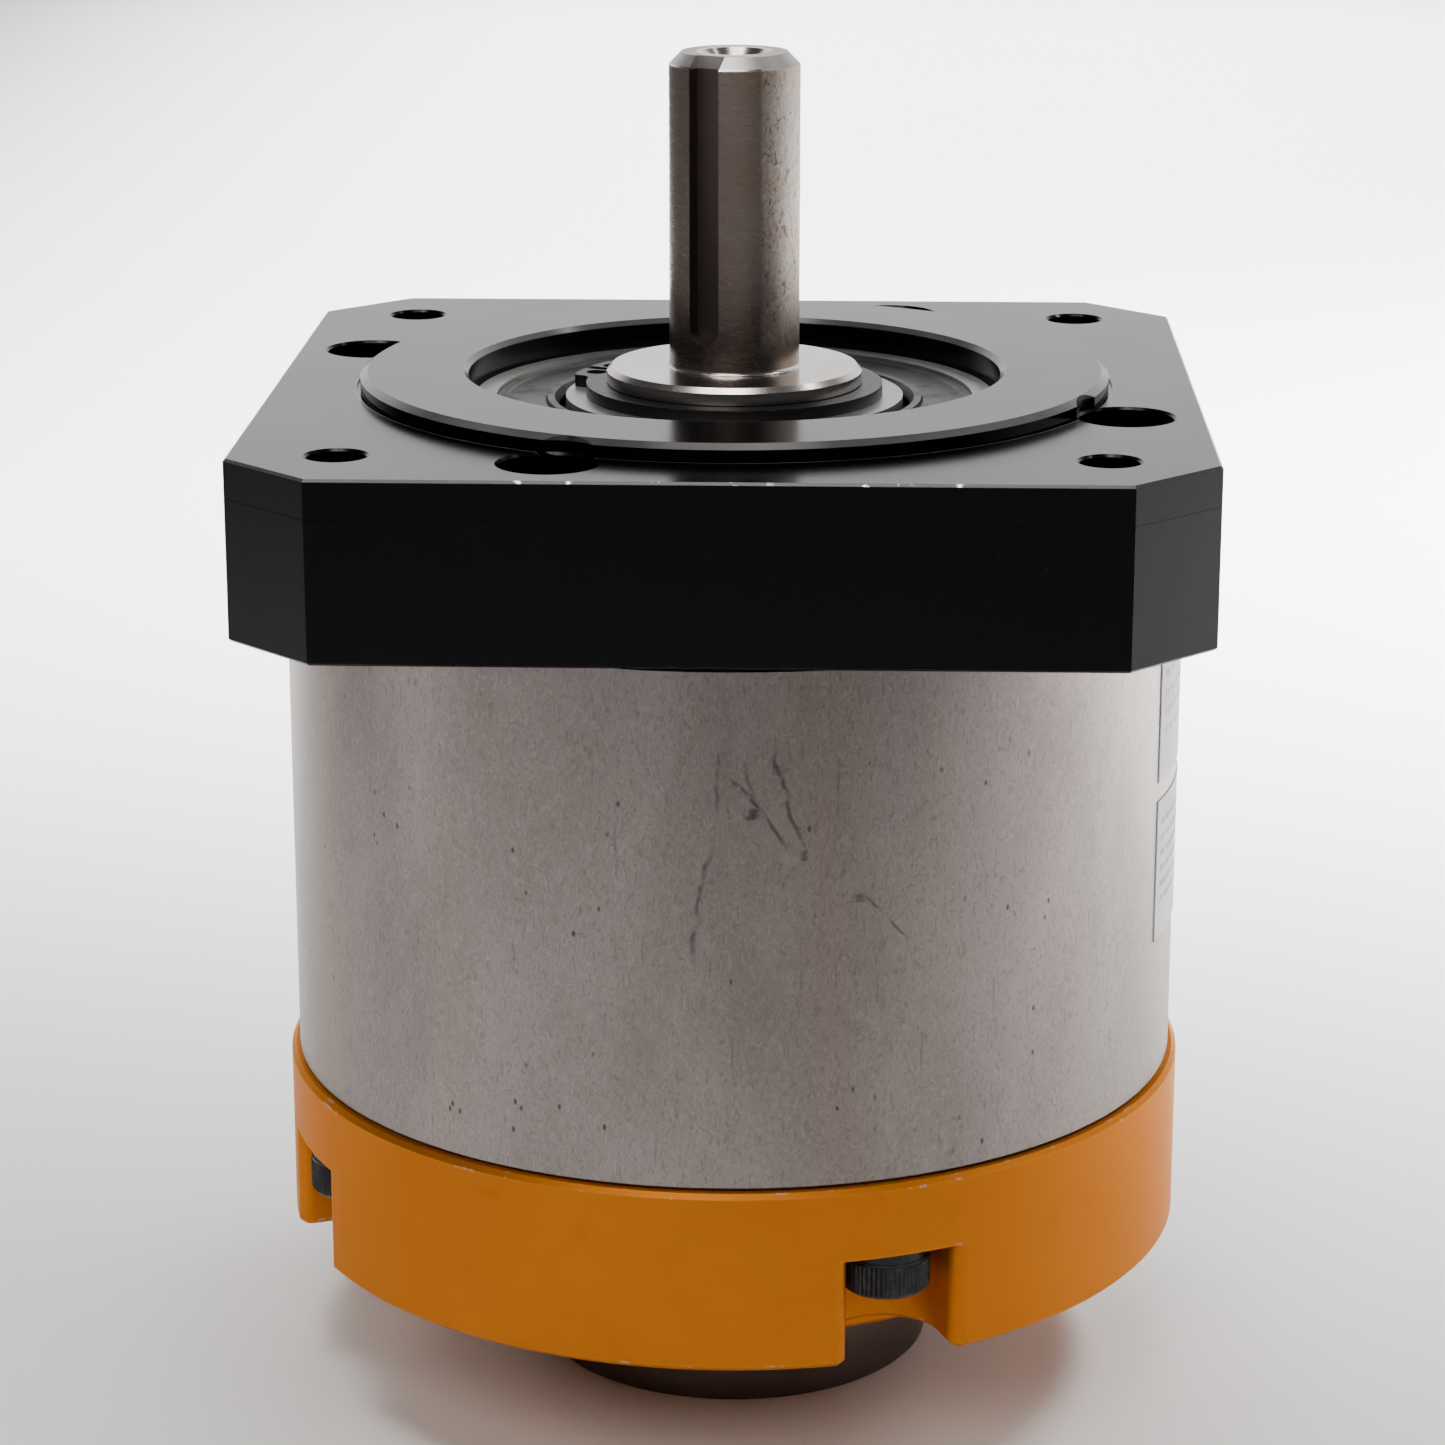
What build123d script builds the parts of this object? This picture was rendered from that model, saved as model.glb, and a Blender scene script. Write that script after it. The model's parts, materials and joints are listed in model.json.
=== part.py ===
from build123d import *
import os
from math import acos, cos, pi, radians, sin, tan

# Inline planetary gear reducer with one 5:1 stage, in millimetres.
# The origin is the centre of the square output flange's mounting face, and +Z runs out along the
# output shaft. From the top down: output shaft and square flange with two ball bearings, steel
# ring gear housing with the carrier, three planets and the sun, and the input housing with the
# input bearing and the clamping hub that grips a motor shaft.
# Lengths along Z are heights above the mounting face, so most of them are negative.

# Fits and small clearances
RUNNING_GAP = 0.02
SLIP_GAP = 0.02
THREAD_GAP = 0.02
EDGE_BREAK = 0.25

# Square output flange (NEMA 34 pattern: 73.025 pilot, four holes on a 98.43 bolt circle)
FLANGE_WIDTH = 89.65
FLANGE_CORNER = 8.25
FLANGE_THICKNESS = 17.0
PILOT_RADIUS = 36.5125
PILOT_HEIGHT = 1.6
PILOT_CHAMFER_OUT = 0.75
PILOT_CHAMFER_DOWN = 0.5
PILOT_RELIEF_UNDERCUT = 0.25
PILOT_RELIEF_WIDTH = 0.4
PILOT_RELIEF_DEPTH = 0.25
BOLT_SPACING = 69.6
BOLT_HOLE_RADIUS = 2.77
RECESS_CHAMFER = 0.5
WITNESS_LINE_Z = -3.7
WITNESS_LINE_SIZE = 0.1
SPIGOT_RADIUS = 34.98
SPIGOT_BOTTOM = -33.0
BEARING_LIP_RADIUS = 24.0

# Screws that hold the flange and the input housing to the ring gear housing
SCREW_CIRCLE_RADIUS = 40.5
FLANGE_SCREW_ANGLE = -22.5
INPUT_SCREW_ANGLE = -67.5
M5_RADIUS = 2.5
M5_CLEARANCE_RADIUS = 2.75
M5_TAP_RADIUS = 2.1
M5_HEAD_RADIUS = 4.25
M5_HEAD_HEIGHT = 5.0
M5_SOCKET_ACROSS_FLATS = 4.0
LOW_HEAD_HEIGHT = 3.5
LOW_SOCKET_ACROSS_FLATS = 3.0
LOCK_WASHER_INNER = 2.55
LOCK_WASHER_OUTER = 4.0
LOCK_WASHER_THICKNESS = 1.2
LOCK_WASHER_SPLIT = 0.9
LOCK_WASHER_SPLIT_ANGLE = 140.0
FLANGE_COUNTERBORE_RADIUS = 4.5
FLANGE_SCREW_SEAT = -9.5
FLANGE_SCREW_LENGTH = 20.0
INPUT_SCREW_LENGTH = 16.0
TAPPED_DEPTH = 14.0

# Ring gear housing
HOUSING_RADIUS = 44.2
HOUSING_TOP = -FLANGE_THICKNESS
HOUSING_BOTTOM = -67.1
HOUSING_CHAMFER = 0.4
HOUSING_SPIGOT_BORE = 35.0
GEAR_ZONE_TOP = -40.5
GEAR_ZONE_BOTTOM = -59.5
GEAR_RELIEF_RADIUS = 34.0

# Gears: one stage, ring fixed, sun in, carrier out; ratio 1 + 72 / 18 = 5
MODULE = 0.9
PRESSURE_ANGLE = radians(20)
SUN_TEETH = 18
PLANET_TEETH = 27
RING_TEETH = 72
PLANET_COUNT = 3
FIRST_PLANET_ANGLE = 90.0
FLANK_GAP = 0.025
ADDENDUM = 1.0 * MODULE
DEDENDUM = 1.25 * MODULE
CENTRE_DISTANCE = MODULE * (SUN_TEETH + PLANET_TEETH) / 2
PLANET_TOP = -42.5
PLANET_BOTTOM = -56.5
PLANET_BORE_RADIUS = 7.0
PIN_RADIUS = 5.0
NEEDLE_RADIUS = 0.98
NEEDLE_COUNT = 18
NEEDLE_END_GAP = 0.3
WASHER_RADIUS = 10.5
WASHER_THICKNESS = 0.8
WASHER_GAP = 0.1

# Output shaft, which is one piece with the carrier's front disc and pillars
SHAFT_RADIUS = 6.35
SHAFT_TOP = 32.2
SHAFT_CHAMFER = 1.2
SHAFT_FOOT_FILLET = 0.35
COLLAR_TOP = 1.76
COLLAR_CHAMFER = 0.5
KEYWAY_WIDTH = 3.175
KEYWAY_DEPTH = 1.8
KEYWAY_BOTTOM = 4.7
KEYWAY_ANGLE = -116.6
CENTRE_HOLE_RADIUS = 2.1
CENTRE_HOLE_DEPTH = 14.0
CENTRE_HOLE_MOUTH = 3.2
CARRIER_RADIUS = 30.8
CARRIER_DISC_TOP = -33.6
CARRIER_DISC_BOTTOM = -41.5
CARRIER_SHOULDER_RADIUS = 18.5
PILLAR_INNER_RADIUS = 14.0
PILLAR_PLANET_CLEARANCE = 14.2
REAR_PLATE_TOP = -57.5
REAR_PLATE_BOTTOM = -64.5
REAR_PLATE_BORE = 12.0
PIN_TOP = -35.5
CARRIER_SCREW_RADIUS = 2.0
CARRIER_SCREW_CIRCLE = 25.0
CARRIER_SCREW_LENGTH = 16.0
CARRIER_HEAD_RADIUS = 3.5
CARRIER_HEAD_HEIGHT = 4.0
CARRIER_COUNTERBORE_DEPTH = 4.4

# Ball bearings: (bore radius, outer radius, width, ball radius, ball count,
# inner ring shoulder radius, outer ring shoulder radius, seal seat radius)
BEARING_25 = (12.5, 26.0, 15.0, 3.97, 9, 16.5, 21.9, 23.3)
BEARING_30 = (15.0, 27.5, 13.0, 3.57, 11, 18.9, 23.6, 25.0)
FRONT_BEARING_TOP = -1.15
REAR_BEARING_TOP = -19.6
INPUT_BEARING_TOP = -69.6
SEAL_SEAT_DEPTH = 1.2
BEARING_EDGE = 0.6

# Retaining rings: thickness and groove width
SHAFT_RING_THICKNESS = 1.2
SHAFT_RING_GROOVE_RADIUS = 11.95
SHAFT_RING_GROOVE_WIDTH = 1.3
SHAFT_RING_OPENING_ANGLE = 156.2
HUB_RING_THICKNESS = 1.5
HUB_RING_GROOVE_RADIUS = 14.3
HUB_RING_GROOVE_WIDTH = 1.6
HOUSING_RING_THICKNESS = 2.0
HOUSING_RING_GROOVE_RADIUS = 29.0
HOUSING_RING_GROOVE_WIDTH = 2.15

# Input housing
INPUT_RADIUS = 45.05
INPUT_BOTTOM = -84.8
INPUT_CHAMFER = 0.45
INPUT_SPIGOT_RADIUS = 33.95
INPUT_SPIGOT_BORE = 31.6
INPUT_SPIGOT_TOP = -61.0
INPUT_SHOULDER_RADIUS = 24.0
REGISTER_RADIUS = 33.2
REGISTER_BOTTOM = -86.6
CHANNEL_RADIUS = 5.25
CHANNEL_TOP = -74.2
CHANNEL_EDGE_FILLET = 1.3
ADAPTER_HOLE_DEPTH = 10.0

# Input sun shaft and clamp collar
SUN_TOP = -42.0
SUN_BOTTOM = -57.0
SUN_NECK_RADIUS = 6.9
HUB_BODY_RADIUS = 11.0
HUB_BODY_TOP = -61.0
HUB_SHOULDER_RADIUS = 17.5
HUB_SHOULDER_TOP = -66.0
HUB_SLEEVE_RADIUS = 13.5
HUB_SLEEVE_TOP = -85.0
HUB_BOTTOM = -99.4
MOTOR_BORE_RADIUS = 6.35
MOTOR_BORE_TOP = -63.5
HUB_SLIT_WIDTH = 1.6
HUB_SLIT_COUNT = 4
HUB_SLIT_TOP = -87.0
COLLAR_RADIUS = 19.86
COLLAR_BOTTOM = -99.7
CLAMP_COLLAR_TOP = -86.9
COLLAR_EDGE = 0.4
COLLAR_SLIT_WIDTH = 2.0
CLAMP_SCREW_OFFSET = 16.7
CLAMP_SCREW_SEAT = 5.5
CLAMP_SCREW_LENGTH = 14.0
CLAMP_POCKET_RADIUS = 3.75

# O-rings
FLANGE_O_RING_Z = -29.0
FLANGE_O_RING_SECTION = 0.95
INPUT_O_RING_RADIUS = 35.7
INPUT_O_RING_SECTION = 0.85

# Labels stuck on the ring gear housing
LABEL_START_ANGLE = -20.4
LABEL_ARC = 65.0
UPPER_LABEL_SPAN = (-36.0, -18.6)
LOWER_LABEL_SPAN = (-52.2, -37.9)
LABEL_THICKNESS = 0.12


# ---------------------------------------------------------------- helpers

def turned(*outline):
    """Solid of revolution about Z of a closed outline of (radius, height) points."""
    return revolve(Plane.XZ * Polygon(*outline, align=None), Axis.Z)


def tube(inner, outer, low, high, edge=0.0):
    """Ring, or disc where inner is 0, with its outer edges chamfered by edge."""
    if edge == 0:
        return turned((inner, low), (outer, low), (outer, high), (inner, high))
    return turned(
        (inner, low), (outer - edge, low), (outer, low + edge),
        (outer, high - edge), (outer - edge, high), (inner, high),
    )


def bar(radius, low, high):
    """Round bar along Z between two heights."""
    return Pos(0, 0, low) * Cylinder(radius, high - low, align=(Align.CENTER, Align.CENTER, Align.MIN))


def polar(shape, radius, angle):
    """The shape moved out to a radius and turned to an angle about Z."""
    return Rot(0, 0, angle) * Pos(radius, 0, 0) * shape


def spread(shape, radius, count, start):
    """Equally spaced copies of the shape on a circle about Z."""
    return [polar(shape, radius, start + index * 360 / count) for index in range(count)]


def cut_all(solid, tools):
    """The solid with each tool taken out of it."""
    for tool in tools:
        solid -= tool
    return solid


def sector(radius, start, end):
    """Flat wedge from the centre, between two angles under 180 degrees apart."""
    reach = radius / cos(radians(end - start) / 2)
    corners = [(reach * cos(radians(a)), reach * sin(radians(a))) for a in (start, end)]
    return Polygon((0, 0), *corners, align=None)


def group(shapes):
    """Separate solids kept together in one node."""
    return Compound(children=[solid for shape in shapes for solid in shape.solids()])


# ---------------------------------------------------------------- gears

def tooth_half_angle(teeth, radius, flank_gap):
    """Half of a tooth's angle at a radius, for an involute of the base circle."""
    pitch = MODULE * teeth / 2
    base = pitch * cos(PRESSURE_ANGLE)
    angle = acos(min(1.0, base / radius))
    at_pitch = pi / (2 * teeth) - flank_gap / pitch
    return at_pitch + (tan(PRESSURE_ANGLE) - PRESSURE_ANGLE) - (tan(angle) - angle)


def at(radius, angle):
    return (radius * cos(angle), radius * sin(angle))


def gear_face(teeth, root, tip, flank_gap, first_tooth=0.0):
    """Flat gear outline. The same outline with a negative gap cuts the spaces of a ring gear."""
    base = MODULE * teeth / 2 * cos(PRESSURE_ANGLE)
    start = max(root, base)
    steps = 4
    radii = [start + (tip - start) * i / steps for i in range(steps + 1)]
    halves = [tooth_half_angle(teeth, radius, flank_gap) for radius in radii]
    pitch_angle = 2 * pi / teeth
    edges = []
    for index in range(teeth):
        centre = radians(first_tooth) + index * pitch_angle
        rising = [at(r, centre - half) for r, half in zip(radii, halves)]
        falling = [at(r, centre + half) for r, half in reversed(list(zip(radii, halves)))]
        if root < start:
            edges.append(Line(at(root, centre - halves[0]), rising[0]))
        edges.append(Spline(*rising))
        edges.append(ThreePointArc(rising[-1], at(tip, centre), falling[0]))
        edges.append(Spline(*falling))
        if root < start:
            edges.append(Line(falling[-1], at(root, centre + halves[0])))
        root_start = at(root, centre + halves[0])
        root_end = at(root, centre + pitch_angle - halves[0])
        edges.append(ThreePointArc(root_start, at(root, centre + pitch_angle / 2), root_end))
    return make_face(edges)


def external_gear(teeth, low, high, first_tooth=0.0):
    pitch = MODULE * teeth / 2
    face = gear_face(teeth, pitch - DEDENDUM, pitch + ADDENDUM, FLANK_GAP, first_tooth)
    return Pos(0, 0, low) * extrude(face, high - low)


def planet_angles():
    return [FIRST_PLANET_ANGLE + index * 360 / PLANET_COUNT for index in range(PLANET_COUNT)]


# ---------------------------------------------------------------- fasteners and rings

def cap_screw(radius, length, head_radius, head_height, across_flats):
    """Socket head cap screw with its head upwards and the underside of the head at Z = 0."""
    grooves = 56
    groove_depth = 0.15
    plain_band = 0.1 * head_height
    crown = 0.12 * head_height
    points = []
    for index in range(grooves * 2):
        angle = index * pi / grooves
        points.append(at(head_radius - (groove_depth if index % 2 else 0), angle))
    knurl = Pos(0, 0, plain_band) * extrude(Polygon(*points, align=None), head_height - plain_band)
    band = bar(head_radius - groove_depth, 0, plain_band)
    envelope = turned(
        (0, 0), (head_radius, 0), (head_radius, head_height - crown),
        (head_radius - crown, head_height), (0, head_height),
    )
    head = (knurl + band) & envelope
    socket = extrude(RegularPolygon(across_flats / 2, 6, major_radius=False), -0.5 * head_height)
    head -= Pos(0, 0, head_height) * socket
    tip = 0.4
    shank = turned((0, 0.5), (radius, 0.5), (radius, tip - length), (radius - tip, -length), (0, -length))
    return head + shank


def round_corners(ring, radius, fillet_radius):
    """Round the ring's upright edges that lie at a distance from the Z axis."""
    corners = [e for e in ring.edges().filter_by(Axis.Z)
               if abs(Vector(e.center().X, e.center().Y).length - radius) < 0.02]
    return fillet(corners, fillet_radius)


def outside_ring(groove_radius, ring_radius, lug_radius, thickness, opening_angle):
    """External retaining ring for a shaft, with two lugs and their plier holes."""
    gap, lug_end, hole_offset, hole_radius = 2.2, 14.5, 7.2, 1.0
    band = Circle(ring_radius) - Circle(groove_radius)
    lugs = (Circle(lug_radius) - Circle(groove_radius)) & sector(lug_radius, -lug_end, lug_end)
    ring = extrude(band + lugs, thickness)
    ring = round_corners(ring, ring_radius, 1.2)
    ring = round_corners(ring, lug_radius, 0.7)
    ring -= extrude(sector(lug_radius + 1, -gap, gap), thickness)
    for side in (-1, 1):
        x, y = at((groove_radius + lug_radius) / 2 + 0.3, side * radians(hole_offset))
        ring -= Pos(x, y, -1) * bar(hole_radius, 0, thickness + 2)
    return Rot(0, 0, opening_angle) * ring


def inside_ring(groove_radius, ring_radius, lug_radius, thickness, opening_angle):
    """Internal retaining ring for a bore, with its lugs pointing inwards."""
    gap, lug_end, hole_offset, hole_radius = 3.0, 12.0, 6.8, 1.25
    band = Circle(groove_radius) - Circle(ring_radius)
    lugs = (Circle(groove_radius) - Circle(lug_radius)) & sector(groove_radius, -lug_end, lug_end)
    ring = extrude(band + lugs, thickness)
    ring = round_corners(ring, ring_radius, 1.2)
    ring = round_corners(ring, lug_radius, 0.8)
    ring -= extrude(sector(groove_radius + 1, -gap, gap), thickness)
    for side in (-1, 1):
        x, y = at((lug_radius + ring_radius) / 2 + 0.4, side * radians(hole_offset))
        ring -= Pos(x, y, -1) * bar(hole_radius, 0, thickness + 2)
    return Rot(0, 0, opening_angle) * ring


# ---------------------------------------------------------------- ball bearings

def bearing_rings(size, top):
    """Outer and inner ring of a deep groove ball bearing, with seats for its seals."""
    bore, outer, width, ball, _, inner_shoulder, outer_shoulder, seal_seat = size
    low = top - width
    middle = top - width / 2
    pitch = (bore + outer) / 2
    groove = 1.04 * ball
    outer_ring = tube(outer_shoulder, outer, low, top, BEARING_EDGE)
    outer_ring -= Pos(0, 0, middle) * Torus(pitch + ball + RUNNING_GAP - groove, groove)
    outer_ring -= bar(seal_seat, top - SEAL_SEAT_DEPTH, top)
    outer_ring -= bar(seal_seat, low, low + SEAL_SEAT_DEPTH)
    inner_ring = turned(
        (bore, low + BEARING_EDGE), (bore + BEARING_EDGE, low), (inner_shoulder, low),
        (inner_shoulder, top), (bore + BEARING_EDGE, top), (bore, top - BEARING_EDGE),
    )
    inner_ring -= Pos(0, 0, middle) * Torus(pitch - ball - RUNNING_GAP + groove, groove)
    return outer_ring, inner_ring


def bearing_balls(size, top):
    bore, outer, width, ball, count = size[:5]
    return group(spread(Pos(0, 0, top - width / 2) * Sphere(ball), (bore + outer) / 2, count, 0))


def bearing_cage(size, top):
    """One-piece cage with a round pocket for each ball."""
    bore, outer, width, ball, count = size[:5]
    middle = top - width / 2
    pitch = (bore + outer) / 2
    half_wall = 1.25
    half_height = ball + 0.8
    cage = tube(pitch - half_wall, pitch + half_wall, middle - half_height, middle + half_height)
    pocket = Pos(0, 0, middle) * Rot(0, 90, 0) * Cylinder(ball + 0.08, 6 * half_wall)
    return cut_all(cage, spread(pocket, pitch, count, 0))


def bearing_seal(size, face, inward):
    """Rubber seal that sits below a bearing's face; inward is -1 below it and 1 above it."""
    inner_shoulder, _, seal_seat = size[5:8]
    rim = seal_seat - 0.05
    lip = inner_shoulder + 0.7
    depths = [
        (rim, 1.15), (rim, 0.3), (rim - 0.75, 0.3), (rim - 0.95, 0.5), (lip + 1.3, 0.5),
        (lip + 1.1, 0.15), (lip + 0.4, 0.15), (lip, 0.9), (lip, 1.15),
    ]
    return turned(*[(radius, face + inward * depth) for radius, depth in depths])


# ---------------------------------------------------------------- output end

def output_flange():
    half = FLANGE_WIDTH / 2
    near = half - FLANGE_CORNER
    outline = [(near, -half), (half, -near), (half, near), (near, half)]
    outline += [(-x, -y) for x, y in outline]
    plate = Pos(0, 0, -FLANGE_THICKNESS) * extrude(Polygon(*outline, align=None), FLANGE_THICKNESS)
    perimeter = plate.faces().sort_by(Axis.Z)[-1].edges() + plate.faces().sort_by(Axis.Z)[0].edges()
    plate = chamfer(perimeter, EDGE_BREAK)
    inner_half, inner_near = half - WITNESS_LINE_SIZE / 2, near - WITNESS_LINE_SIZE / 5
    inner = [(inner_near, -inner_half), (inner_half, -inner_near)]
    inner += [(inner_half, inner_near), (inner_near, inner_half)]
    inner += [(-x, -y) for x, y in inner]
    frame = Polygon(*[(2 * x, 2 * y) for x, y in outline], align=None) - Polygon(*inner, align=None)
    plate -= Pos(0, 0, WITNESS_LINE_Z) * extrude(frame, WITNESS_LINE_SIZE)
    pilot = turned(
        (0, -1), (PILOT_RADIUS, -1), (PILOT_RADIUS, PILOT_HEIGHT - PILOT_CHAMFER_DOWN),
        (PILOT_RADIUS - PILOT_CHAMFER_OUT, PILOT_HEIGHT), (0, PILOT_HEIGHT),
    )
    spigot = tube(0, SPIGOT_RADIUS, SPIGOT_BOTTOM, -FLANGE_THICKNESS + 1, EDGE_BREAK)
    flange = plate + pilot + spigot
    flange -= turned(
        (PILOT_RADIUS, 0), (PILOT_RADIUS - PILOT_RELIEF_UNDERCUT, -PILOT_RELIEF_DEPTH),
        (PILOT_RADIUS + PILOT_RELIEF_WIDTH, -PILOT_RELIEF_DEPTH), (PILOT_RADIUS + PILOT_RELIEF_WIDTH, 0),
    )
    front_seat, rear_seat = BEARING_25[1], BEARING_30[1]
    front_shoulder = FRONT_BEARING_TOP - BEARING_25[2]
    rim = front_seat + RECESS_CHAMFER
    flange -= turned(
        (0, SPIGOT_BOTTOM - 1), (rear_seat, SPIGOT_BOTTOM - 1), (rear_seat, REAR_BEARING_TOP),
        (BEARING_LIP_RADIUS, REAR_BEARING_TOP), (BEARING_LIP_RADIUS, front_shoulder),
        (front_seat, front_shoulder), (front_seat, PILOT_HEIGHT - RECESS_CHAMFER),
        (rim, PILOT_HEIGHT), (rim, PILOT_HEIGHT + 1), (0, PILOT_HEIGHT + 1),
    )
    groove_bottom = HOUSING_SPIGOT_BORE - 2 * FLANGE_O_RING_SECTION
    flange -= tube(groove_bottom, SPIGOT_RADIUS + 1, FLANGE_O_RING_Z - 1.2, FLANGE_O_RING_Z + 1.2)
    screw_hole = turned(
        (0, -FLANGE_THICKNESS - 1), (M5_CLEARANCE_RADIUS, -FLANGE_THICKNESS - 1),
        (M5_CLEARANCE_RADIUS, FLANGE_SCREW_SEAT), (FLANGE_COUNTERBORE_RADIUS, FLANGE_SCREW_SEAT),
        (FLANGE_COUNTERBORE_RADIUS, -EDGE_BREAK), (FLANGE_COUNTERBORE_RADIUS + EDGE_BREAK, 0),
        (FLANGE_COUNTERBORE_RADIUS + EDGE_BREAK, PILOT_HEIGHT + 1), (0, PILOT_HEIGHT + 1),
    )
    flange = cut_all(flange, spread(screw_hole, SCREW_CIRCLE_RADIUS, 4, FLANGE_SCREW_ANGLE))
    mouth = BOLT_HOLE_RADIUS + EDGE_BREAK
    bolt_hole = turned(
        (0, -FLANGE_THICKNESS - 1), (mouth, -FLANGE_THICKNESS - 1), (mouth, -FLANGE_THICKNESS),
        (BOLT_HOLE_RADIUS, -FLANGE_THICKNESS + EDGE_BREAK), (BOLT_HOLE_RADIUS, -EDGE_BREAK),
        (mouth, 0), (mouth, 1), (0, 1),
    )
    return cut_all(flange, [loc * bolt_hole for loc in GridLocations(BOLT_SPACING, BOLT_SPACING, 2, 2)])


def output_shaft():
    """Shaft, bearing journals, carrier disc and the three pillars that carry the rear plate."""
    journal, inner_journal = BEARING_25[0], BEARING_30[0]
    front_shoulder = FRONT_BEARING_TOP - BEARING_25[2]
    rear_shoulder = REAR_BEARING_TOP - BEARING_30[2]
    groove_low = FRONT_BEARING_TOP
    groove_high = groove_low + SHAFT_RING_GROOVE_WIDTH
    fit = RUNNING_GAP / 2
    shaft = turned(
        (0, CARRIER_DISC_BOTTOM), (CARRIER_RADIUS, CARRIER_DISC_BOTTOM),
        (CARRIER_RADIUS, CARRIER_DISC_TOP), (CARRIER_SHOULDER_RADIUS, CARRIER_DISC_TOP),
        (CARRIER_SHOULDER_RADIUS, rear_shoulder), (inner_journal - fit, rear_shoulder),
        (inner_journal - fit, front_shoulder), (journal - fit, front_shoulder),
        (journal - fit, groove_low), (SHAFT_RING_GROOVE_RADIUS, groove_low),
        (SHAFT_RING_GROOVE_RADIUS, groove_high), (journal - fit, groove_high),
        (journal - fit, COLLAR_TOP - COLLAR_CHAMFER), (journal - COLLAR_CHAMFER, COLLAR_TOP),
        (SHAFT_RADIUS, COLLAR_TOP), (SHAFT_RADIUS, SHAFT_TOP - SHAFT_CHAMFER),
        (SHAFT_RADIUS - SHAFT_CHAMFER, SHAFT_TOP), (0, SHAFT_TOP),
    )
    # Turned to the keyway's angle, so that the seam of the round faces is cut away with the keyway
    foot = [e for e in shaft.edges().filter_by(GeomType.CIRCLE)
            if abs(e.radius - SHAFT_RADIUS) < 0.01 and abs(e.center().Z - COLLAR_TOP) < 0.01]
    shaft = Rot(0, 0, KEYWAY_ANGLE) * fillet(foot, SHAFT_FOOT_FILLET)
    pillars = tube(PILLAR_INNER_RADIUS, CARRIER_RADIUS, REAR_PLATE_TOP, CARRIER_DISC_BOTTOM + 1)
    around_planet = bar(PILLAR_PLANET_CLEARANCE, REAR_PLATE_TOP - 1, CARRIER_DISC_BOTTOM)
    shaft += cut_all(pillars, spread(around_planet, CENTRE_DISTANCE, PLANET_COUNT, FIRST_PLANET_ANGLE))
    pin_hole = bar(PIN_RADIUS, PIN_TOP - 10, PIN_TOP)
    shaft = cut_all(shaft, spread(pin_hole, CENTRE_DISTANCE, PLANET_COUNT, FIRST_PLANET_ANGLE))
    screw_hole = bar(CARRIER_SCREW_RADIUS + THREAD_GAP, REAR_PLATE_TOP - 1, REAR_PLATE_TOP + 14)
    pillar_angle = FIRST_PLANET_ANGLE + 180 / PLANET_COUNT
    shaft = cut_all(shaft, spread(screw_hole, CARRIER_SCREW_CIRCLE, PLANET_COUNT, pillar_angle))
    shaft -= turned(
        (0, SHAFT_TOP - CENTRE_HOLE_DEPTH - 1.2), (CENTRE_HOLE_RADIUS, SHAFT_TOP - CENTRE_HOLE_DEPTH),
        (CENTRE_HOLE_RADIUS, SHAFT_TOP - 1.1 * (CENTRE_HOLE_MOUTH - CENTRE_HOLE_RADIUS)),
        (CENTRE_HOLE_MOUTH, SHAFT_TOP), (CENTRE_HOLE_MOUTH, SHAFT_TOP + 1), (0, SHAFT_TOP + 1),
    )
    round_end = KEYWAY_BOTTOM + KEYWAY_WIDTH / 2
    slot = Polygon(
        (-KEYWAY_WIDTH / 2, round_end), (KEYWAY_WIDTH / 2, round_end),
        (KEYWAY_WIDTH / 2, SHAFT_TOP + 1), (-KEYWAY_WIDTH / 2, SHAFT_TOP + 1), align=None,
    ) + Pos(0, round_end) * Circle(KEYWAY_WIDTH / 2)
    floor = Plane(origin=(SHAFT_RADIUS - KEYWAY_DEPTH, 0, 0), x_dir=(0, 1, 0), z_dir=(1, 0, 0))
    return shaft - Rot(0, 0, KEYWAY_ANGLE) * extrude(floor * slot, 2 * KEYWAY_DEPTH)


def carrier_rear_plate():
    plate = tube(REAR_PLATE_BORE, CARRIER_RADIUS, REAR_PLATE_BOTTOM, REAR_PLATE_TOP, EDGE_BREAK)
    pin_hole = bar(PIN_RADIUS, REAR_PLATE_BOTTOM - 1, REAR_PLATE_TOP + 1)
    plate = cut_all(plate, spread(pin_hole, CENTRE_DISTANCE, PLANET_COUNT, FIRST_PLANET_ANGLE))
    seat = REAR_PLATE_BOTTOM + CARRIER_COUNTERBORE_DEPTH
    screw_hole = bar(CARRIER_SCREW_RADIUS + 0.2, REAR_PLATE_BOTTOM - 1, REAR_PLATE_TOP + 1)
    screw_hole += bar(CARRIER_HEAD_RADIUS + 0.3, REAR_PLATE_BOTTOM - 1, seat)
    pillar_angle = FIRST_PLANET_ANGLE + 180 / PLANET_COUNT
    return cut_all(plate, spread(screw_hole, CARRIER_SCREW_CIRCLE, PLANET_COUNT, pillar_angle))


def carrier_screws():
    seat = REAR_PLATE_BOTTOM + CARRIER_COUNTERBORE_DEPTH
    screw = cap_screw(CARRIER_SCREW_RADIUS, CARRIER_SCREW_LENGTH, CARRIER_HEAD_RADIUS,
                      CARRIER_HEAD_HEIGHT, 3.0)
    screw = Pos(0, 0, seat) * Rot(180, 0, 0) * screw
    pillar_angle = FIRST_PLANET_ANGLE + 180 / PLANET_COUNT
    return group(spread(screw, CARRIER_SCREW_CIRCLE, PLANET_COUNT, pillar_angle))


# ---------------------------------------------------------------- gear stage

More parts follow.
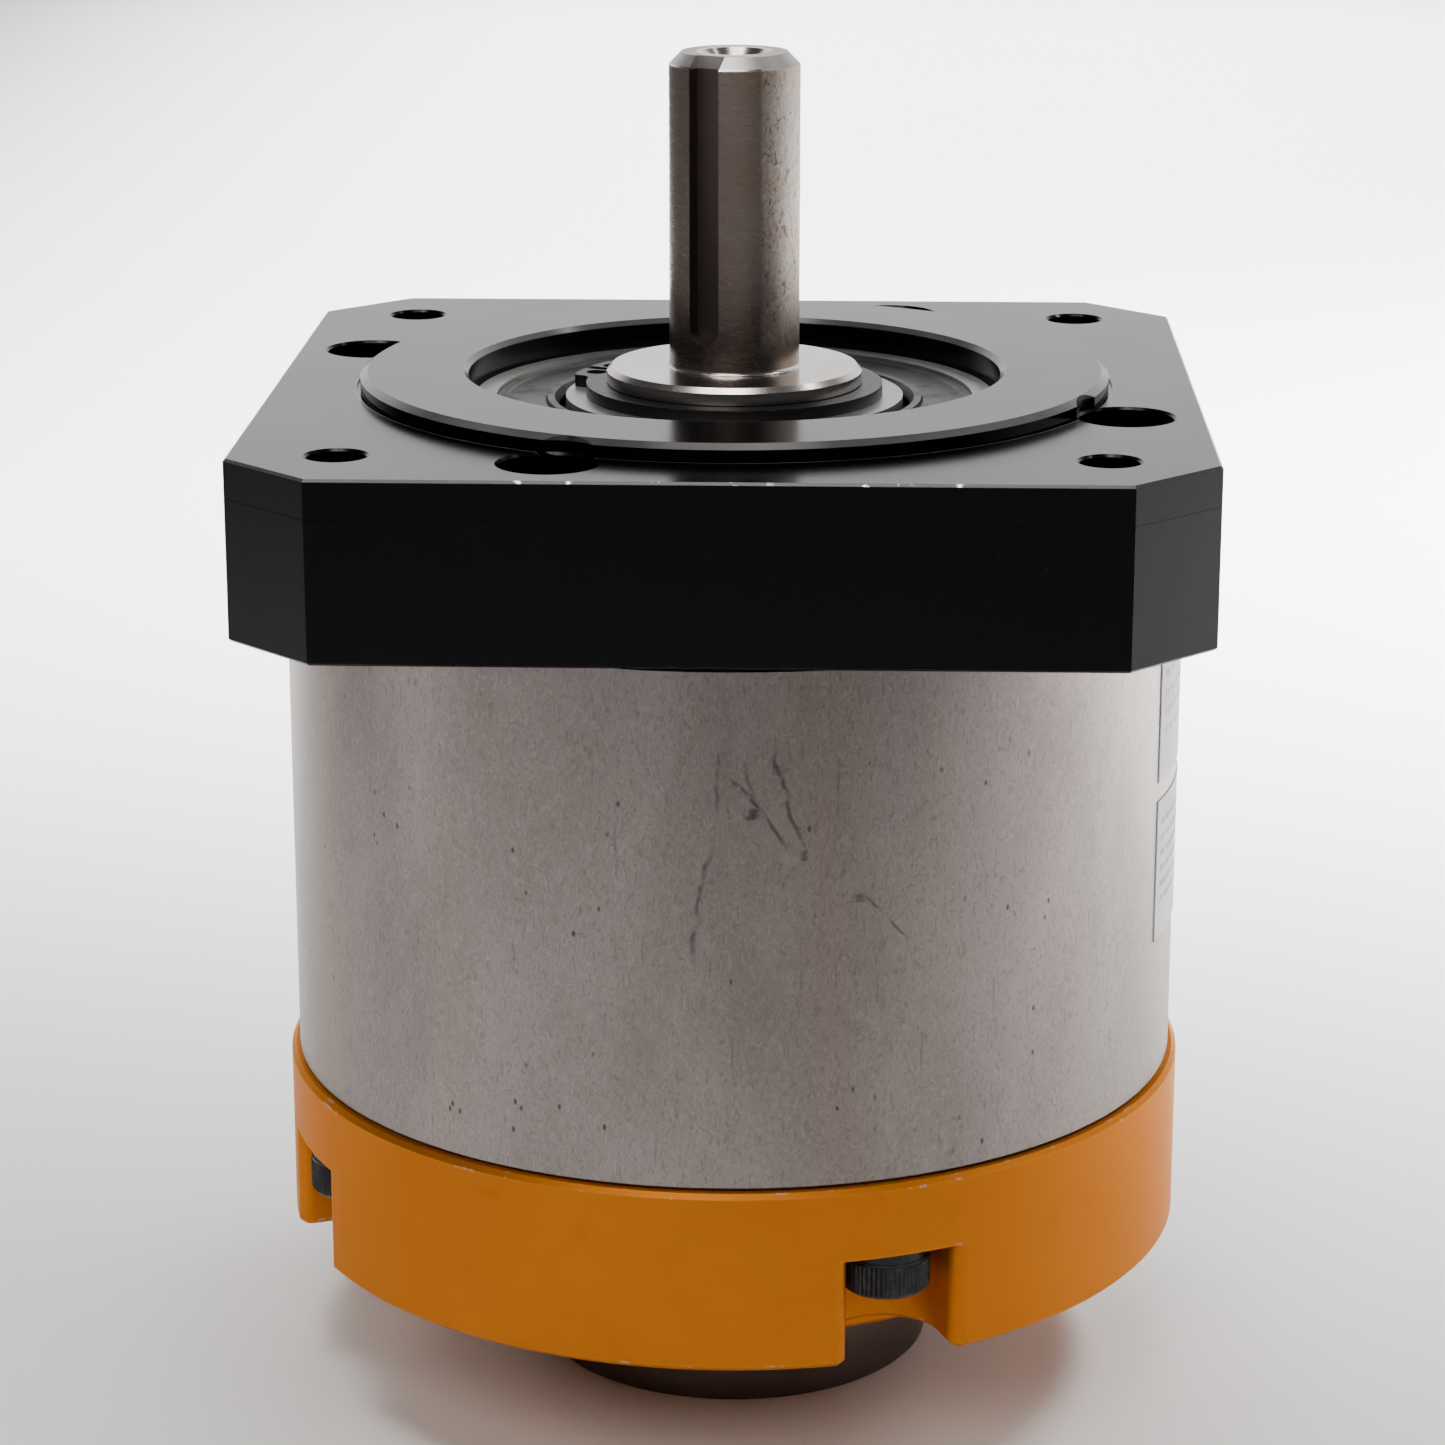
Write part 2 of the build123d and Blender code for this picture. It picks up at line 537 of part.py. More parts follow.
def ring_gear_housing():
    relief_top = SPIGOT_BOTTOM - 0.3
    tip = MODULE * RING_TEETH / 2 - ADDENDUM
    root = MODULE * RING_TEETH / 2 + DEDENDUM
    inside = tip - 0.3
    housing = turned(
        (HOUSING_SPIGOT_BORE, HOUSING_TOP), (HOUSING_RADIUS - HOUSING_CHAMFER, HOUSING_TOP),
        (HOUSING_RADIUS, HOUSING_TOP - HOUSING_CHAMFER),
        (HOUSING_RADIUS, HOUSING_BOTTOM + HOUSING_CHAMFER),
        (HOUSING_RADIUS - HOUSING_CHAMFER, HOUSING_BOTTOM), (GEAR_RELIEF_RADIUS, HOUSING_BOTTOM),
        (GEAR_RELIEF_RADIUS, GEAR_ZONE_BOTTOM), (inside, GEAR_ZONE_BOTTOM), (inside, GEAR_ZONE_TOP),
        (GEAR_RELIEF_RADIUS, GEAR_ZONE_TOP), (GEAR_RELIEF_RADIUS, relief_top),
        (HOUSING_SPIGOT_BORE, relief_top),
    )
    spaces = gear_face(RING_TEETH, tip, root, -FLANK_GAP, FIRST_PLANET_ANGLE)
    housing -= Pos(0, 0, GEAR_ZONE_BOTTOM) * extrude(spaces, GEAR_ZONE_TOP - GEAR_ZONE_BOTTOM)
    tapped = M5_RADIUS + THREAD_GAP
    top_hole = bar(tapped, HOUSING_TOP - TAPPED_DEPTH, HOUSING_TOP + 1)
    housing = cut_all(housing, spread(top_hole, SCREW_CIRCLE_RADIUS, 4, FLANGE_SCREW_ANGLE))
    bottom_hole = bar(tapped, HOUSING_BOTTOM - 1, HOUSING_BOTTOM + TAPPED_DEPTH)
    return cut_all(housing, spread(bottom_hole, SCREW_CIRCLE_RADIUS, 4, INPUT_SCREW_ANGLE))


def planet_gear(angle):
    """A planet with one tooth pointing straight away from the sun, which is how it meshes at rest."""
    gear = external_gear(PLANET_TEETH, PLANET_BOTTOM, PLANET_TOP)
    gear -= bar(PLANET_BORE_RADIUS, PLANET_BOTTOM - 1, PLANET_TOP + 1)
    return polar(gear, CENTRE_DISTANCE, angle)


def planet_needles(angle):
    needle = bar(NEEDLE_RADIUS, PLANET_BOTTOM + NEEDLE_END_GAP, PLANET_TOP - NEEDLE_END_GAP)
    ring = spread(needle, (PLANET_BORE_RADIUS + PIN_RADIUS) / 2, NEEDLE_COUNT, 0)
    return group([polar(one, CENTRE_DISTANCE, angle) for one in ring])


def planet_pin(angle):
    pin = tube(0, PIN_RADIUS, REAR_PLATE_BOTTOM, PIN_TOP, EDGE_BREAK)
    return polar(pin, CENTRE_DISTANCE, angle)


def planet_thrust_washers():
    above = tube(PIN_RADIUS, WASHER_RADIUS, PLANET_TOP + WASHER_GAP,
                 PLANET_TOP + WASHER_GAP + WASHER_THICKNESS)
    below = tube(PIN_RADIUS, WASHER_RADIUS, PLANET_BOTTOM - WASHER_GAP - WASHER_THICKNESS,
                 PLANET_BOTTOM - WASHER_GAP)
    return group([w for washer in (above, below)
                  for w in spread(washer, CENTRE_DISTANCE, PLANET_COUNT, FIRST_PLANET_ANGLE)])


# ---------------------------------------------------------------- input end

def input_housing():
    seat = BEARING_30[1]
    ring_top = INPUT_BEARING_TOP - BEARING_30[2]
    ring_low = ring_top - HOUSING_RING_GROOVE_WIDTH
    edge = INPUT_CHAMFER
    housing = turned(
        (INPUT_SHOULDER_RADIUS, HOUSING_BOTTOM), (INPUT_SPIGOT_BORE, HOUSING_BOTTOM),
        (INPUT_SPIGOT_BORE, INPUT_SPIGOT_TOP), (INPUT_SPIGOT_RADIUS - edge, INPUT_SPIGOT_TOP),
        (INPUT_SPIGOT_RADIUS, INPUT_SPIGOT_TOP - edge), (INPUT_SPIGOT_RADIUS, HOUSING_BOTTOM),
        (INPUT_RADIUS - edge, HOUSING_BOTTOM), (INPUT_RADIUS, HOUSING_BOTTOM - edge),
        (INPUT_RADIUS, INPUT_BOTTOM), (REGISTER_RADIUS, INPUT_BOTTOM),
        (REGISTER_RADIUS, REGISTER_BOTTOM + edge), (REGISTER_RADIUS - edge, REGISTER_BOTTOM),
        (seat + edge, REGISTER_BOTTOM), (seat, REGISTER_BOTTOM + edge), (seat, ring_low),
        (HOUSING_RING_GROOVE_RADIUS, ring_low), (HOUSING_RING_GROOVE_RADIUS, ring_top),
        (seat, ring_top), (seat, INPUT_BEARING_TOP), (INPUT_SHOULDER_RADIUS, INPUT_BEARING_TOP),
    )
    reach = INPUT_RADIUS
    channel = Circle(CHANNEL_RADIUS) + Pos(reach / 2, 0) * Rectangle(reach, 2 * CHANNEL_RADIUS)
    channel = Pos(0, 0, INPUT_BOTTOM - 1) * extrude(channel, CHANNEL_TOP - INPUT_BOTTOM + 1)
    housing = cut_all(housing, spread(channel, SCREW_CIRCLE_RADIUS, 4, INPUT_SCREW_ANGLE))
    corners = [e for e in housing.edges().filter_by(GeomType.LINE).filter_by(Axis.Z)
               if abs(Vector(e.center().X, e.center().Y).length - INPUT_RADIUS) < 0.05
               and e.center().Z < CHANNEL_TOP]
    housing = fillet(corners, CHANNEL_EDGE_FILLET)
    bottom_face = [f for f in housing.faces().filter_by(Axis.Z)
                   if abs(f.center().Z - INPUT_BOTTOM) < 0.01]
    bottom_edges = [e for f in bottom_face for e in f.outer_wire().edges()
                    if Vector(e.center().X, e.center().Y).length > REGISTER_RADIUS + 1]
    housing = chamfer(bottom_edges, INPUT_CHAMFER)
    screw_hole = bar(M5_CLEARANCE_RADIUS, CHANNEL_TOP - 1, HOUSING_BOTTOM + 1)
    housing = cut_all(housing, spread(screw_hole, SCREW_CIRCLE_RADIUS, 4, INPUT_SCREW_ANGLE))
    mouth = M5_TAP_RADIUS + 0.5
    hole_top = INPUT_BOTTOM + ADAPTER_HOLE_DEPTH
    adapter_hole = turned(
        (0, INPUT_BOTTOM - 1), (mouth, INPUT_BOTTOM - 1), (mouth, INPUT_BOTTOM),
        (M5_TAP_RADIUS, INPUT_BOTTOM + 0.5), (M5_TAP_RADIUS, hole_top), (0, hole_top + 1.2),
    )
    housing = cut_all(housing, spread(adapter_hole, SCREW_CIRCLE_RADIUS, 4, INPUT_SCREW_ANGLE + 45))
    groove = INPUT_O_RING_SECTION + 0.15
    return housing - tube(INPUT_O_RING_RADIUS - groove, INPUT_O_RING_RADIUS + groove,
                          HOUSING_BOTTOM - 2 * INPUT_O_RING_SECTION, HOUSING_BOTTOM + 0.5)


def input_sun_shaft():
    """Sun gear, bearing journal and slit clamping sleeve in one piece, bored for a motor shaft."""
    journal = BEARING_30[0]
    fit = RUNNING_GAP / 2
    groove_high = INPUT_BEARING_TOP - BEARING_30[2]
    groove_low = groove_high - HUB_RING_GROOVE_WIDTH
    shaft = turned(
        (0, SUN_BOTTOM + 1), (SUN_NECK_RADIUS, SUN_BOTTOM + 1), (SUN_NECK_RADIUS, HUB_BODY_TOP),
        (HUB_BODY_RADIUS, HUB_BODY_TOP), (HUB_BODY_RADIUS, HUB_SHOULDER_TOP),
        (HUB_SHOULDER_RADIUS, HUB_SHOULDER_TOP), (HUB_SHOULDER_RADIUS, INPUT_BEARING_TOP),
        (journal - fit, INPUT_BEARING_TOP), (journal - fit, groove_high),
        (HUB_RING_GROOVE_RADIUS, groove_high), (HUB_RING_GROOVE_RADIUS, groove_low),
        (journal - fit, groove_low), (journal - fit, HUB_SLEEVE_TOP),
        (HUB_SLEEVE_RADIUS, HUB_SLEEVE_TOP), (HUB_SLEEVE_RADIUS, HUB_BOTTOM + EDGE_BREAK),
        (HUB_SLEEVE_RADIUS - EDGE_BREAK, HUB_BOTTOM), (0, HUB_BOTTOM),
    )
    shaft += external_gear(SUN_TEETH, SUN_BOTTOM, SUN_TOP, FIRST_PLANET_ANGLE)
    mouth = MOTOR_BORE_RADIUS + 0.5
    shaft -= turned(
        (0, HUB_BOTTOM - 1), (mouth, HUB_BOTTOM - 1), (mouth, HUB_BOTTOM),
        (MOTOR_BORE_RADIUS, HUB_BOTTOM + 0.5), (MOTOR_BORE_RADIUS, MOTOR_BORE_TOP),
        (0, MOTOR_BORE_TOP + 1.5),
    )
    slit_height = HUB_SLIT_TOP - HUB_BOTTOM
    slit = Box(HUB_SLEEVE_RADIUS, HUB_SLIT_WIDTH, 2 * slit_height)
    slit = Pos(0, 0, HUB_BOTTOM) * slit
    return cut_all(shaft, spread(slit, HUB_SLEEVE_RADIUS - 1, HUB_SLIT_COUNT, 45))


def clamp_collar():
    """Ring that squeezes the slit sleeve, closed by one tangential screw at its back."""
    middle = (CLAMP_COLLAR_TOP + COLLAR_BOTTOM) / 2
    bore = HUB_SLEEVE_RADIUS + SLIP_GAP
    collar = tube(bore, COLLAR_RADIUS, COLLAR_BOTTOM, CLAMP_COLLAR_TOP, COLLAR_EDGE)
    wall = COLLAR_RADIUS - bore
    collar -= Pos(0, bore + wall / 2, middle) * Box(COLLAR_SLIT_WIDTH, 2 * wall, 20)
    along_x = Pos(0, CLAMP_SCREW_OFFSET, middle) * Rot(0, 90, 0)
    near_side = bar(CARRIER_SCREW_RADIUS + 0.2, 0, COLLAR_RADIUS)
    far_side = bar(CARRIER_SCREW_RADIUS + THREAD_GAP, -COLLAR_RADIUS, 0)
    pocket = bar(CLAMP_POCKET_RADIUS, CLAMP_SCREW_SEAT, COLLAR_RADIUS)
    return cut_all(collar, [along_x * tool for tool in (near_side, far_side, pocket)])


def clamp_screw():
    middle = (CLAMP_COLLAR_TOP + COLLAR_BOTTOM) / 2
    screw = cap_screw(CARRIER_SCREW_RADIUS, CLAMP_SCREW_LENGTH, CARRIER_HEAD_RADIUS,
                      CARRIER_HEAD_HEIGHT, 3.0)
    return Pos(CLAMP_SCREW_SEAT, CLAMP_SCREW_OFFSET, middle) * Rot(0, 90, 0) * screw


# ---------------------------------------------------------------- trim and fasteners

def flange_screws():
    screw = cap_screw(M5_RADIUS, FLANGE_SCREW_LENGTH, M5_HEAD_RADIUS, M5_HEAD_HEIGHT,
                      M5_SOCKET_ACROSS_FLATS)
    return group(spread(Pos(0, 0, FLANGE_SCREW_SEAT) * screw, SCREW_CIRCLE_RADIUS, 4, FLANGE_SCREW_ANGLE))


def input_housing_screws():
    screw = cap_screw(M5_RADIUS, INPUT_SCREW_LENGTH, M5_HEAD_RADIUS, LOW_HEAD_HEIGHT,
                      LOW_SOCKET_ACROSS_FLATS)
    screw = Pos(0, 0, CHANNEL_TOP - LOCK_WASHER_THICKNESS) * Rot(180, 0, 0) * screw
    return group(spread(screw, SCREW_CIRCLE_RADIUS, 4, INPUT_SCREW_ANGLE))


def lock_washers():
    """Split spring washers between the screw heads and the ceilings of the channels."""
    washer = tube(LOCK_WASHER_INNER, LOCK_WASHER_OUTER, CHANNEL_TOP - LOCK_WASHER_THICKNESS, CHANNEL_TOP)
    reach = 2 * LOCK_WASHER_OUTER
    split = Pos(reach / 2, 0, CHANNEL_TOP) * Rot(35, 0, 0) * Box(reach, LOCK_WASHER_SPLIT, reach)
    washer -= Rot(0, 0, LOCK_WASHER_SPLIT_ANGLE) * split
    return group(spread(washer, SCREW_CIRCLE_RADIUS, 4, INPUT_SCREW_ANGLE))


def label(low, top):
    """Thin sticker wrapped on the housing, starting at the label angle."""
    inner, outer = HOUSING_RADIUS, HOUSING_RADIUS + LABEL_THICKNESS
    flat = Plane.XZ * Polygon((inner, low), (outer, low), (outer, top), (inner, top), align=None)
    return Rot(0, 0, LABEL_START_ANGLE) * revolve(flat, Axis.Z, revolution_arc=LABEL_ARC)


def build():
    """Every node by name."""
    front_outer, front_inner = bearing_rings(BEARING_25, FRONT_BEARING_TOP)
    rear_outer, rear_inner = bearing_rings(BEARING_30, REAR_BEARING_TOP)
    input_outer, input_inner = bearing_rings(BEARING_30, INPUT_BEARING_TOP)
    front_low = FRONT_BEARING_TOP - BEARING_25[2]
    input_low = INPUT_BEARING_TOP - BEARING_30[2]
    nodes = {
        "output_flange": output_flange(),
        "ring_gear_housing": ring_gear_housing(),
        "input_housing": input_housing(),
        "output_shaft": output_shaft(),
        "carrier_rear_plate": carrier_rear_plate(),
        "carrier_screws": carrier_screws(),
        "planet_thrust_washers": planet_thrust_washers(),
        "input_sun_shaft": input_sun_shaft(),
        "clamp_collar": clamp_collar(),
        "clamp_screw": clamp_screw(),
        "front_bearing_outer_ring": front_outer,
        "front_bearing_inner_ring": front_inner,
        "front_bearing_balls": bearing_balls(BEARING_25, FRONT_BEARING_TOP),
        "front_bearing_cage": bearing_cage(BEARING_25, FRONT_BEARING_TOP),
        "front_bearing_outer_seal": bearing_seal(BEARING_25, FRONT_BEARING_TOP, -1),
        "front_bearing_inner_seal": bearing_seal(BEARING_25, front_low, 1),
        "rear_bearing_outer_ring": rear_outer,
        "rear_bearing_inner_ring": rear_inner,
        "rear_bearing_balls": bearing_balls(BEARING_30, REAR_BEARING_TOP),
        "rear_bearing_cage": bearing_cage(BEARING_30, REAR_BEARING_TOP),
        "input_bearing_outer_ring": input_outer,
        "input_bearing_inner_ring": input_inner,
        "input_bearing_balls": bearing_balls(BEARING_30, INPUT_BEARING_TOP),
        "input_bearing_cage": bearing_cage(BEARING_30, INPUT_BEARING_TOP),
        "input_bearing_inner_seal": bearing_seal(BEARING_30, INPUT_BEARING_TOP, -1),
        "input_bearing_outer_seal": bearing_seal(BEARING_30, input_low, 1),
        "shaft_retaining_ring": Pos(0, 0, FRONT_BEARING_TOP) * outside_ring(
            SHAFT_RING_GROOVE_RADIUS, 14.5, 16.2, SHAFT_RING_THICKNESS, SHAFT_RING_OPENING_ANGLE),
        "hub_retaining_ring": Pos(0, 0, input_low - HUB_RING_THICKNESS) * outside_ring(
            HUB_RING_GROOVE_RADIUS, 17.0, 18.8, HUB_RING_THICKNESS, -60),
        "housing_retaining_ring": Pos(0, 0, input_low - HOUSING_RING_THICKNESS) * inside_ring(
            HOUSING_RING_GROOVE_RADIUS, 25.6, 22.4, HOUSING_RING_THICKNESS, 40),
        "flange_screws": flange_screws(),
        "input_housing_screws": input_housing_screws(),
        "input_lock_washers": lock_washers(),
        "flange_o_ring": Pos(0, 0, FLANGE_O_RING_Z) * Torus(
            HOUSING_SPIGOT_BORE - FLANGE_O_RING_SECTION, FLANGE_O_RING_SECTION),
        "input_housing_o_ring": Pos(0, 0, HOUSING_BOTTOM - INPUT_O_RING_SECTION) * Torus(
            INPUT_O_RING_RADIUS, INPUT_O_RING_SECTION),
        "upper_label": label(*UPPER_LABEL_SPAN),
        "lower_label": label(*LOWER_LABEL_SPAN),
    }
    for number, angle in enumerate(planet_angles(), start=1):
        nodes[f"planet_gear_{number}"] = planet_gear(angle)
        nodes[f"planet_needles_{number}"] = planet_needles(angle)
        nodes[f"planet_pin_{number}"] = planet_pin(angle)
    return nodes


os.makedirs("parts", exist_ok=True)
for name, shape in build().items():
    export_step(shape, f"parts/{name}.step")
    print(name, len(shape.solids()), "solids", round(shape.volume), "mm3")
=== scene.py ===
import bpy
import json
import math
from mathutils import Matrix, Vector


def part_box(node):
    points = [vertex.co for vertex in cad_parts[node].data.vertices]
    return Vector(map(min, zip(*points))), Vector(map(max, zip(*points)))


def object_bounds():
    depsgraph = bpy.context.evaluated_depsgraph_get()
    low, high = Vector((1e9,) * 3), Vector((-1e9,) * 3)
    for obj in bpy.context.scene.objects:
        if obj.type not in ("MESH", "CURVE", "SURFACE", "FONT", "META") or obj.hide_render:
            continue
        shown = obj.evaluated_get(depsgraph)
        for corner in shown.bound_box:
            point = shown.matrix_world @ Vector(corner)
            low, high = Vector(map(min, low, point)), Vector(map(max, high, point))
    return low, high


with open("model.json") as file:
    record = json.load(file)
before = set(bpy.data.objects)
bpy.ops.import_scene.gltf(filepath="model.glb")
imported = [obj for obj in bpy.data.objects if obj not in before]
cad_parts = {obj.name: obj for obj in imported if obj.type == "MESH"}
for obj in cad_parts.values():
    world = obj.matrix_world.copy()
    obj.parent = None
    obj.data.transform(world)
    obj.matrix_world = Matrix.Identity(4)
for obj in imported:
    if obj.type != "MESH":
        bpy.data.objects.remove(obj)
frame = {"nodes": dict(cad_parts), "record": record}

# Looks, light and camera for the inline gear reducer. The object's frame has its origin at the centre
# of the output flange's mounting face and +Z out along the shaft. Lengths here are in metres, and angles
# are in radians, unless a comment says otherwise.

CAD_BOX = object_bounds()
NODES = frame["nodes"]
MM = 0.001

# Places on the object, read from the frame
_, FLANGE_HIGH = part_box("output_flange")
_, RING_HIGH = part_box("ring_gear_housing")
_, SHAFT_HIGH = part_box("output_shaft")
LABEL_BOXES = {name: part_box(name) for name in ("upper_label", "lower_label")}
HOUSING_RADIUS = RING_HIGH.y
FLOOR_Z = CAD_BOX[0].z

# Flange: the cut corners, and the edges that carry a painted highlight, with rubbed wear nicks on the outer
# rim
FLANGE_HALF = FLANGE_HIGH.x
FLANGE_CORNER = 8.25 * MM
CORNER_REACH = (2 * FLANGE_HALF - FLANGE_CORNER) * math.sqrt(0.5)
RIM_START = FLANGE_HALF - 0.32 * MM
RIM_FULL = FLANGE_HALF - 0.2 * MM
RIM_DEPTH = 0.2 * MM
PILOT_EDGE_RADIUS = 35.7 * MM
RECESS_EDGE_RADIUS = 26.6 * MM
PILOT_EDGE_HEIGHT = 1.05 * MM
GROOVE_EDGE_RADIUS = 36.95 * MM

# Shaft: its collar, keyway, end chamfer and the side that is pitted
COLLAR_TOP = 2.0 * MM
CHAMFER_FOOT = SHAFT_HIGH.z - 1.3 * MM
KEYWAY_FOOT = 3.0 * MM
KEYWAY_INNER = 3.6 * MM
KEYWAY_OUTER = 6.25 * MM
PITTED_ANGLE = math.radians(-32)
PITTED_HALF = 0.52
PITTED_FOOT = 2.5 * MM
RUST_FOOT = 24 * MM
RUST_FULL = 31 * MM

# Labels: rows of dashes, with a plain margin at the side and at both ends
LABEL_ROWS = 9
PRINT_START = HOUSING_RADIUS * math.radians(-19.0)
PRINT_FULL = HOUSING_RADIUS * math.radians(-18.8)
END_MARGIN = 1.4 * MM

# Camera
CAMERA_PLACE = (0.01288, -0.39623, 0.07980)
CAMERA_TURN = (math.radians(73.88), 0.0, math.radians(2.03))
CAMERA_LENS = 102.48
CAMERA_SENSOR = 36.0
CAMERA_CLIP = (0.01, 30.0)

# Studio: the direction of the bright wall, and how its light grows from the third value to the fourth as
# the view direction passes from the first to the second, by direction and by height
WALL_DIRECTION = (0.42, 0.91, 0.0)
WALL_RANGE = (0.1, 0.6, 0.0, 1.65)
WALL_HEIGHT = (0.35, 0.6, 1.0, 0.1)
ROOM_LIGHT = 0.07
FLOOR_REACH = 6.0
WHITE = (1.0, 1.0, 1.0)
WARM = (1.0, 0.93, 0.87)


# ---------------------------------------------------------------- node helpers

class Look:
    """One material and short calls for its nodes."""

    def __init__(self, name, color, metallic, roughness, specular=0.5):
        self.material = bpy.data.materials.new(name)
        self.material.use_nodes = True
        self.tree = self.material.node_tree
        self.shader = self.tree.nodes["Principled BSDF"]
        self.shader.inputs["Base Color"].default_value = (*color, 1.0)
        self.shader.inputs["Metallic"].default_value = metallic
        self.shader.inputs["Roughness"].default_value = roughness
        self.shader.inputs["Specular IOR Level"].default_value = specular
        self.coords = self.node("ShaderNodeTexCoord").outputs["Object"]

    def node(self, kind, **values):
        made = self.tree.nodes.new(kind)
        for key, value in values.items():
            setattr(made, key, value)
        return made

    def feed(self, socket, value):
        """Links a socket to another, or sets it to a value."""
        if isinstance(value, bpy.types.NodeSocket):
            self.tree.links.new(value, socket)
        elif isinstance(value, tuple) and len(value) == 3 and socket.type == "RGBA":
            socket.default_value = (*value, 1.0)
        else:
            socket.default_value = value

    def math(self, operation, a, b=0.0, c=0.0):
        made = self.node("ShaderNodeMath", operation=operation)
        for socket, value in zip(made.inputs, (a, b, c)):
            self.feed(socket, value)
        return made.outputs[0]

    def times(self, a, b):
        return self.math("MULTIPLY", a, b)

    def plus(self, a, b):
        return self.math("ADD", a, b)

    def larger(self, a, b):
        return self.math("MAXIMUM", a, b)

    def scaled(self, value, factor, start):
        """A start plus a value times a factor."""
        return self.math("MULTIPLY_ADD", value, factor, start)

    def radius(self, x, y):
        """Distance from the Z axis."""
        return self.math("SQRT", self.plus(self.times(x, x), self.times(y, y)))

    def split(self, vector):
        made = self.node("ShaderNodeSeparateXYZ")
        self.feed(made.inputs[0], vector)
        return made.outputs

    def join(self, x, y, z):
        made = self.node("ShaderNodeCombineXYZ")
        for socket, value in zip(made.inputs, (x, y, z)):
            self.feed(socket, value)
        return made.outputs[0]

    def stretched(self, vector, scale):
        made = self.node("ShaderNodeVectorMath", operation="MULTIPLY")
        self.feed(made.inputs[0], vector)
        self.feed(made.inputs[1], scale)
        return made.outputs[0]

    def around(self):
        """Coordinates on a cylinder about Z: metres round it at the housing's radius, and height."""
        x, y, z = self.split(self.coords)
        angle = self.math("ARCTAN2", y, x)
        return self.join(self.times(angle, HOUSING_RADIUS), 0.0, z)

    def noise(self, vector, scale, detail=4.0, roughness=0.55, distortion=0.0):
        made = self.node("ShaderNodeTexNoise")
        self.feed(made.inputs["Vector"], vector)
        self.feed(made.inputs["Scale"], scale)
        self.feed(made.inputs["Detail"], detail)
        self.feed(made.inputs["Roughness"], roughness)
        self.feed(made.inputs["Distortion"], distortion)
        return made.outputs["Fac"]

    def dots(self, vector, scale, core, rim):
        """Scattered dots: 1 within core of a cell's centre, falling to 0 at rim."""
        made = self.node("ShaderNodeTexVoronoi")
        self.feed(made.inputs["Vector"], vector)
        self.feed(made.inputs["Scale"], scale)
        return self.step(made.outputs["Distance"], core, rim, 1.0, 0.0)

    def step(self, value, low, high, to_low=0.0, to_high=1.0):
        """Smooth step of a value between two limits."""
        made = self.node("ShaderNodeMapRange", interpolation_type="SMOOTHSTEP")
        for socket, item in zip(made.inputs, (value, low, high, to_low, to_high)):
            self.feed(socket, item)
        return made.outputs["Result"]

    def band(self, value, middle, half, soft):
        """1 where the value is within half of middle, falling to 0 over soft."""
        offset = self.math("ABSOLUTE", self.math("SUBTRACT", value, middle))
        return self.step(offset, half, half + soft, 1.0, 0.0)

    def mix(self, factor, a, b):
        made = self.node("ShaderNodeMix", data_type="RGBA")
        self.feed(made.inputs[0], factor)
        self.feed(made.inputs[6], a)
        self.feed(made.inputs[7], b)
        return made.outputs[2]

    def stain(self, base, mask, strength, color):
        """Lays a colour over the base where the mask is, at a strength."""
        return self.mix(self.times(mask, strength), base, color)

    def edges(self, radius):
        """1 on edges and near them, 0 on plain faces."""
        bevel = self.node("ShaderNodeBevel", samples=6)
        self.feed(bevel.inputs["Radius"], radius)
        plain = self.node("ShaderNodeNewGeometry").outputs["Normal"]
        dot = self.node("ShaderNodeVectorMath", operation="DOT_PRODUCT")
        self.feed(dot.inputs[0], bevel.outputs[0])
        self.feed(dot.inputs[1], plain)
        return self.step(dot.outputs["Value"], 0.9, 0.995, 1.0, 0.0)

    def color(self, value):
        self.feed(self.shader.inputs["Base Color"], value)

    def rough(self, value):
        self.feed(self.shader.inputs["Roughness"], value)

    def metal(self, value):
        self.feed(self.shader.inputs["Metallic"], value)

    def bump(self, height, distance, strength):
        made = self.node("ShaderNodeBump")
        self.feed(made.inputs["Strength"], strength)
        self.feed(made.inputs["Distance"], distance)
        self.feed(made.inputs["Height"], height)
        self.feed(self.shader.inputs["Normal"], made.outputs[0])

    def brushed(self, amount):
        """Anisotropic gloss with its grain running round the Z axis."""
        self.shader.inputs["Anisotropic"].default_value = amount
        tangent = self.node("ShaderNodeTangent", direction_type="RADIAL", axis="Z")
        self.feed(self.shader.inputs["Tangent"], tangent.outputs[0])


# ---------------------------------------------------------------- materials

def flange_rim(look, x, y, off_face):
    """1 along the outer edge of the flange's mounting face, the cut corners included."""
    x = look.math("ABSOLUTE", x)
    y = look.math("ABSOLUTE", y)
    diagonal = look.times(look.plus(x, y), math.sqrt(0.5))
    corner = look.math("SUBTRACT", diagonal, CORNER_REACH - FLANGE_HALF)
    outline = look.larger(look.larger(x, y), corner)
    return look.times(look.step(outline, RIM_START, RIM_FULL),
                      look.step(off_face, RIM_DEPTH, RIM_DEPTH + 0.1 * MM, 1.0, 0.0))


def turned_edges(look, x, y, height, off_face):
    """1 along the edges of the pilot, the bearing recess and the relief groove."""
    radius = look.radius(x, y)
    pilot = look.times(look.step(radius, PILOT_EDGE_RADIUS, PILOT_EDGE_RADIUS + 0.1 * MM),
                       look.step(height, PILOT_EDGE_HEIGHT, PILOT_EDGE_HEIGHT + 0.07 * MM))
    recess = look.times(look.step(radius, RECESS_EDGE_RADIUS, RECESS_EDGE_RADIUS - 0.15 * MM),
                        look.step(height, PILOT_EDGE_HEIGHT, PILOT_EDGE_HEIGHT + 0.15 * MM))
    groove = look.times(look.band(radius, GROOVE_EDGE_RADIUS, 0.06 * MM, 0.05 * MM),
                        look.step(off_face, 0.02 * MM, 0.06 * MM, 1.0, 0.0))
    return look.larger(look.larger(pilot, recess), groove)


